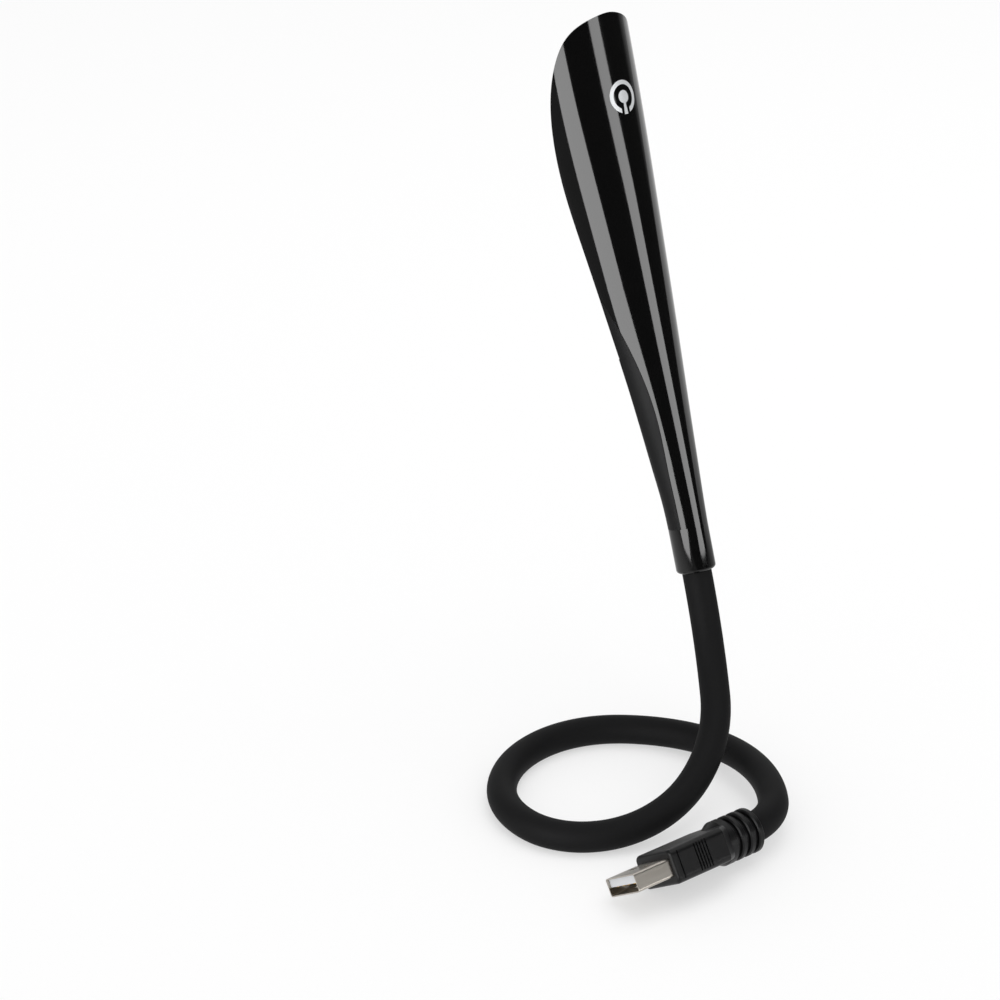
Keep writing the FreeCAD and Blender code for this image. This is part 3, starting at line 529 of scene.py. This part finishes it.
# The edges that face the cover
for side in (1, -1):
    first = len(shell_points)
    for lip in (0.0, EDGE_LIP):
        for height in np.linspace(COLLAR_LENGTH, SEAM_TOP, SEAM_ROWS):
            x, y, z = on_head(side * shell_turn(height), height)
            radius, middle = head_circle(height)
            shrink = 1 - lip / radius
            shell_points.append(in_head(x * shrink, middle + (y - middle) * shrink, z))
    shell_faces += strips(2, SEAM_ROWS, first=first)
# The collar: its mouth, its rounded foot, its side and the ledge under the front cover
collar_line = [(NECK_HOLE, HOLE_DEPTH), (NECK_HOLE, 0)]
collar_line += [(COLLAR_RADIUS - COLLAR_ROUND * (1 - math.sin(t)), COLLAR_ROUND * (1 - math.cos(t)))
                for t in np.linspace(0, math.pi / 2, FOOT_ROWS)]
collar_line += [(COLLAR_RADIUS, COLLAR_LENGTH), (COLLAR_RADIUS - SHELL_WALL, COLLAR_LENGTH)]
first = len(shell_points)
for radius, height in collar_line:
    shell_points += [in_head(radius * math.cos(t), radius * math.sin(t), height)
                     for t in np.linspace(0, 2 * math.pi, COLLAR_POINTS, endpoint=False)]
shell_faces += strips(len(collar_line), COLLAR_POINTS, closed=True, first=first)

# Gloss plastic from a polished tool: a deep black mirror with a faint, slow waviness.
gloss_black = surface("abs_polished_moulded", {"IOR": 1.52},
                      moulded(6.0, 0.0008, (0.05, 0.09), ("#080808", "#0B0B0B")))
shell = new_piece("back_shell_skin", gloss_black, shell_points, shell_faces)
shell.modifiers.new("creases", "EDGE_SPLIT").split_angle = EDGE_CREASE
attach(shell, "head")
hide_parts("back_shell")

# Touch mark
# Silver foil, inlaid flush in the back of the shell: an open ring round a ball on a stem.

MARK_HEIGHT = HEAD_LENGTH - 21.5 * MM
RING_OUTER = 4.1 * MM
RING_INNER = 3.05 * MM
RING_GAP = 2.6 * MM
BALL_RADIUS = 1.6 * MM
STEM_WIDTHS = (0.7 * MM, 1.15 * MM)
STEM_REACH = 4.3 * MM
FOIL_RISE = 0.02 * MM
RING_STEPS = 96
BALL_STEPS = 48
STEM_STEPS = 8


def on_back(x, up):
    """A point on the back of the head, a hair above the shell."""
    radius, middle = head_circle(MARK_HEIGHT + up)
    return in_head(x, middle + math.sqrt(radius ** 2 - x ** 2) + FOIL_RISE, MARK_HEIGHT + up)


mark_points = []
for radius in (RING_OUTER, (RING_OUTER + RING_INNER) / 2, RING_INNER):
    start = math.asin(RING_GAP / 2 / radius)
    mark_points += [on_back(radius * math.sin(t), -radius * math.cos(t))
                    for t in np.linspace(start, 2 * math.pi - start, RING_STEPS)]
mark_faces = strips(3, RING_STEPS)
first = len(mark_points)
for radius in (BALL_RADIUS, BALL_RADIUS / 2, BALL_RADIUS / 50):
    mark_points += [on_back(radius * math.cos(t), radius * math.sin(t))
                    for t in np.linspace(0, 2 * math.pi, BALL_STEPS, endpoint=False)]
mark_faces += strips(3, BALL_STEPS, closed=True, first=first)
first = len(mark_points)
for share in np.linspace(0, 1, STEM_STEPS):
    up = -BALL_RADIUS * 0.9 + share * (BALL_RADIUS * 0.9 - STEM_REACH)
    half = (STEM_WIDTHS[0] + share * (STEM_WIDTHS[1] - STEM_WIDTHS[0])) / 2
    mark_points += [on_back(-half, up), on_back(half, up)]
mark_faces += strips(STEM_STEPS, 2, first=first)

# Satin silver foil: a bright, slightly milky metal, lighter where it faces the light.
silver = surface("silver_foil_satin", {"Metallic": 0.3},
                 drawn(0.0, 0.3, (0.34, 0.46), ("#D2D4D6", "#E2E4E5")))
mark = new_piece("touch_mark_foil", silver, mark_points, mark_faces)
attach(mark, "head")
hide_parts("touch_mark")

# Front cover
# A satin moulding that closes the foot of the head, with a column of vent holes. It runs out into
# a point on each side, between the shell and the rim.

# How far the cover stands out, as shares of the section's radius against shares of the length
BULGE_HEIGHT_SHARES = (0.0824, 0.141, 0.225, 0.31, 0.363, 0.391, 0.4014)
BULGE_SHARES = (1, 0.82, 0.64, 0.42, 0.23, 0.12, 0.06)
SEAM_GAP = 0.12 * MM
COVER_ROWS = 240
SIDE_POINTS = 9
FRONT_POINTS = 121
RUNOUT_ROWS = 40
VENT_COUNT = 5
VENT_START = 26.2 * MM
VENT_PITCH = 5.06 * MM
VENT_RADIUS = 0.8 * MM
VENT_DEPTH = 1.5 * MM
CUP_SHARE = 1.1
CUP_POINTS = 24

bulge_curve = smooth_curve(BULGE_HEIGHT_SHARES, BULGE_SHARES)
vent_heights = [VENT_START + count * VENT_PITCH for count in range(VENT_COUNT)]


def cover_front(share, height):
    """A point of the cover's front: share 0 and 1 are its two sides."""
    radius, middle = head_circle(height)
    swing = share * math.pi
    stand = bulge_curve(height / HEAD_LENGTH) * radius
    return radius * math.cos(swing), middle - stand * math.sin(swing), height


def cover_side(height, end):
    """The cover's side at a height, from the seam to a turn round the section."""
    radius, _ = head_circle(height)
    start = seam_turn(height) + SEAM_GAP / radius
    return [on_head(turn, height) for turn in np.linspace(min(start, end), end, SIDE_POINTS)]


cover_spots = []
for height in np.linspace(COLLAR_LENGTH, COVER_END, COVER_ROWS):
    side = cover_side(height, math.pi / 2)
    front = [cover_front(share, height) for share in np.linspace(0, 1, FRONT_POINTS)[1:-1]]
    cover_spots += side + front + [(-x, y, z) for x, y, z in reversed(side)]
row_width = 2 * SIDE_POINTS + FRONT_POINTS - 2
cover_faces = []
for face in strips(COVER_ROWS, row_width):
    x, y, z = np.mean([cover_spots[k] for k in face], axis=0)
    _, middle = head_circle(z)
    holes = [math.hypot(x, z - vent) < VENT_RADIUS for vent in vent_heights]
    if y > middle or not any(holes):
        cover_faces.append(face)
# The step down to the diffuser
first = len(cover_spots)
end_row = cover_spots[-row_width:]
for deep in (0.0, 2 * DIFFUSER_SIDE):
    cover_spots += [(x, y + deep, z) for x, y, z in end_row[SIDE_POINTS - 1:-SIDE_POINTS + 1]]
cover_faces += strips(2, FRONT_POINTS, first=first)
# The points that run out along the sides
for side in (1, -1):
    first = len(cover_spots)
    for height in np.linspace(COVER_END, SEAM_TOP, RUNOUT_ROWS):
        cover_spots += [(side * x, y, z) for x, y, z in cover_side(height, rim_turn(height))]
    cover_faces += strips(RUNOUT_ROWS, SIDE_POINTS, first=first)
# The vents, as blind cups behind their holes
for vent in vent_heights:
    first = len(cover_spots)
    _, face, _ = cover_front(0.5, vent)
    for radius, deep in ((CUP_SHARE, 0.02 * MM), (CUP_SHARE, VENT_DEPTH), (0.02, VENT_DEPTH)):
        for t in np.linspace(0, 2 * math.pi, CUP_POINTS, endpoint=False):
            reach = radius * VENT_RADIUS
            cover_spots.append((reach * math.cos(t), face + deep, vent + reach * math.sin(t)))
    cover_faces += strips(3, CUP_POINTS, closed=True, first=first)

# Satin plastic from a lightly etched tool: a soft black that blurs what it mirrors.
satin_black = surface("abs_satin_moulded", {"IOR": 1.52, "Specular IOR Level": 0.16},
                      moulded(0.5, 0.003, (0.42, 0.52), ("#121213", "#181819")))
cover = new_piece("front_cover_skin", satin_black, [in_head(*spot) for spot in cover_spots],
                  cover_faces)
cover.modifiers.new("creases", "EDGE_SPLIT").split_angle = EDGE_CREASE
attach(cover, "head")
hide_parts("front_cover")

# Studio
# A white paper floor under an open white sky, a soft lamp overhead, and two softboxes beside the
# camera that show only as long bands in the gloss.

FLOOR_SIZE = 4.0
PAPER_GLOW = 0.55
SKY_STRENGTH = 0.86
LAMP_PLACE = Vector((0.25, 0.25, 1.5))
LAMP_SIZE = 1.2
LAMP_POWER = 7


def on_paper(material):
    """The paper's looks: as light to the camera, as floor to the lamps, dimmer in mirrors."""
    rays = add(material, "ShaderNodeLightPath")
    paper = add(material, "ShaderNodeBsdfDiffuse", {"Color": linear("#F4F4F4")})
    glow = add(material, "ShaderNodeEmission", {"Color": linear("#FFFFFF")})
    seen = add(material, "ShaderNodeMath", {"operation": "MULTIPLY", 1: PAPER_GLOW},
               {0: rays.outputs["Is Camera Ray"]})
    lit = add(material, "ShaderNodeMixShader", links={0: seen.outputs["Value"],
                                                      1: paper.outputs["BSDF"],
                                                      2: glow.outputs["Emission"]})
    place = add(material, "ShaderNodeTexCoord").outputs["Object"]
    away = add(material, "ShaderNodeVectorMath", {"operation": "LENGTH"}, {0: place})
    fall = add(material, "ShaderNodeMapRange",
               {"From Min": 0.08, "From Max": 0.35, "To Min": 0.8, "To Max": 0.2},
               {"Value": away.outputs["Value"]})
    behind = add(material, "ShaderNodeMapRange",
                 {"From Min": 0.05, "From Max": 0.4, "To Min": 0.2, "To Max": 1.0},
                 {"Value": add(material, "ShaderNodeSeparateXYZ",
                               links={0: place}).outputs["Y"]})
    bright = add(material, "ShaderNodeMath", {"operation": "MAXIMUM"},
                 {0: fall.outputs["Result"], 1: behind.outputs["Result"]})
    mirrored = add(material, "ShaderNodeEmission", {"Color": linear("#FFFFFF")},
                   {"Strength": bright.outputs["Value"]})
    return add(material, "ShaderNodeMixShader", links={0: rays.outputs["Is Glossy Ray"],
                                                       1: lit.outputs["Shader"],
                                                       2: mirrored.outputs["Emission"]})


white_paper = empty_material("white_paper")
add(white_paper, "ShaderNodeOutputMaterial",
    links={"Surface": on_paper(white_paper).outputs["Shader"]})
floor = new_piece("floor", white_paper,
                  [(-FLOOR_SIZE, -FLOOR_SIZE, 0), (FLOOR_SIZE, -FLOOR_SIZE, 0),
                   (FLOOR_SIZE, FLOOR_SIZE, 0), (-FLOOR_SIZE, FLOOR_SIZE, 0)],
                  [(0, 1, 2, 3)], smooth=False)


def softbox(name, distance, corners, strength):
    """A lit cloth round the head, its corners given by bearing and height, seen only in mirrors."""
    cloth = empty_material(f"{name}_cloth")
    glow = add(cloth, "ShaderNodeEmission", {"Color": linear("#FFFFFF"), "Strength": strength})
    add(cloth, "ShaderNodeOutputMaterial", links={"Surface": glow.outputs["Emission"]})
    spots = [(mouth_point.x + distance * math.cos(math.radians(bearing)),
              mouth_point.y + distance * math.sin(math.radians(bearing)), height)
             for bearing, height in corners]
    box = new_piece(name, cloth, spots, [tuple(range(len(spots)))], smooth=False)
    box.visible_camera = False
    box.visible_diffuse = False
    box.visible_shadow = False


softbox("softbox_left", 0.33, [(-134, 0.002), (-110, 0.03), (-102, 0.062), (-96, 0.09),
                               (-98, 0.107), (-108, 0.14), (-113, 0.18), (-123, 0.24),
                               (-146, 0.21), (-152, 0.17), (-149, 0.045)], 5.5)
softbox("softbox_right", 3.0, [(-50, 0.3), (-16, 0.15), (-20, 0.45), (-20.5, 0.8), (-31, 1.15),
                               (-32, 1.35), (-59, 1.35), (-45, 0.9), (-45, 0.75)], 5.0)

lamp = bpy.data.lights.new("overhead", "AREA")
lamp.size = LAMP_SIZE
lamp.energy = LAMP_POWER
overhead = bpy.data.objects.new("overhead", lamp)
overhead.location = LAMP_PLACE
overhead.rotation_euler = (-LAMP_PLACE).to_track_quat("-Z", "Y").to_euler()
bpy.context.collection.objects.link(overhead)

world = bpy.data.worlds.new("studio")
world.use_nodes = True
world.node_tree.nodes.clear()
paths = add(world, "ShaderNodeLightPath")
sky = add(world, "ShaderNodeBackground", {"Color": linear("#FFFFFF"), "Strength": SKY_STRENGTH})
white = add(world, "ShaderNodeBackground", {"Color": linear("#FFFFFF")})
bearing = add(world, "ShaderNodeSeparateXYZ",
              links={0: add(world, "ShaderNodeTexCoord").outputs["Generated"]})
# In mirrors the white backdrop fades to a dark room on the camera's side.
fade = add(world, "ShaderNodeMapRange",
           {"From Min": 0.4, "From Max": 0.95, "To Min": 0.03, "To Max": 1.0},
           {"Value": bearing.outputs["Y"]})
room = add(world, "ShaderNodeBackground", {"Color": linear("#FFFFFF")},
           {"Strength": fade.outputs["Result"]})
in_mirrors = add(world, "ShaderNodeMixShader", links={0: paths.outputs["Is Glossy Ray"],
                                                      1: sky.outputs["Background"],
                                                      2: room.outputs["Background"]})
to_camera = add(world, "ShaderNodeMixShader", links={0: paths.outputs["Is Camera Ray"],
                                                     1: in_mirrors.outputs["Shader"],
                                                     2: white.outputs["Background"]})
add(world, "ShaderNodeOutputWorld", links={"Surface": to_camera.outputs["Shader"]})
bpy.context.scene.world = world
bpy.context.scene.view_settings.view_transform = "Standard"

camera_data = bpy.data.cameras.new("camera")
camera_data.sensor_width = 36
camera_data.lens = 90.47
camera = bpy.data.objects.new("camera", camera_data)
camera.location = (-0.03316, -0.56022, 0.32513)
camera.rotation_euler = (math.radians(66.19), math.radians(0.57), math.radians(-0.26))
bpy.context.collection.objects.link(camera)
bpy.context.scene.camera = camera
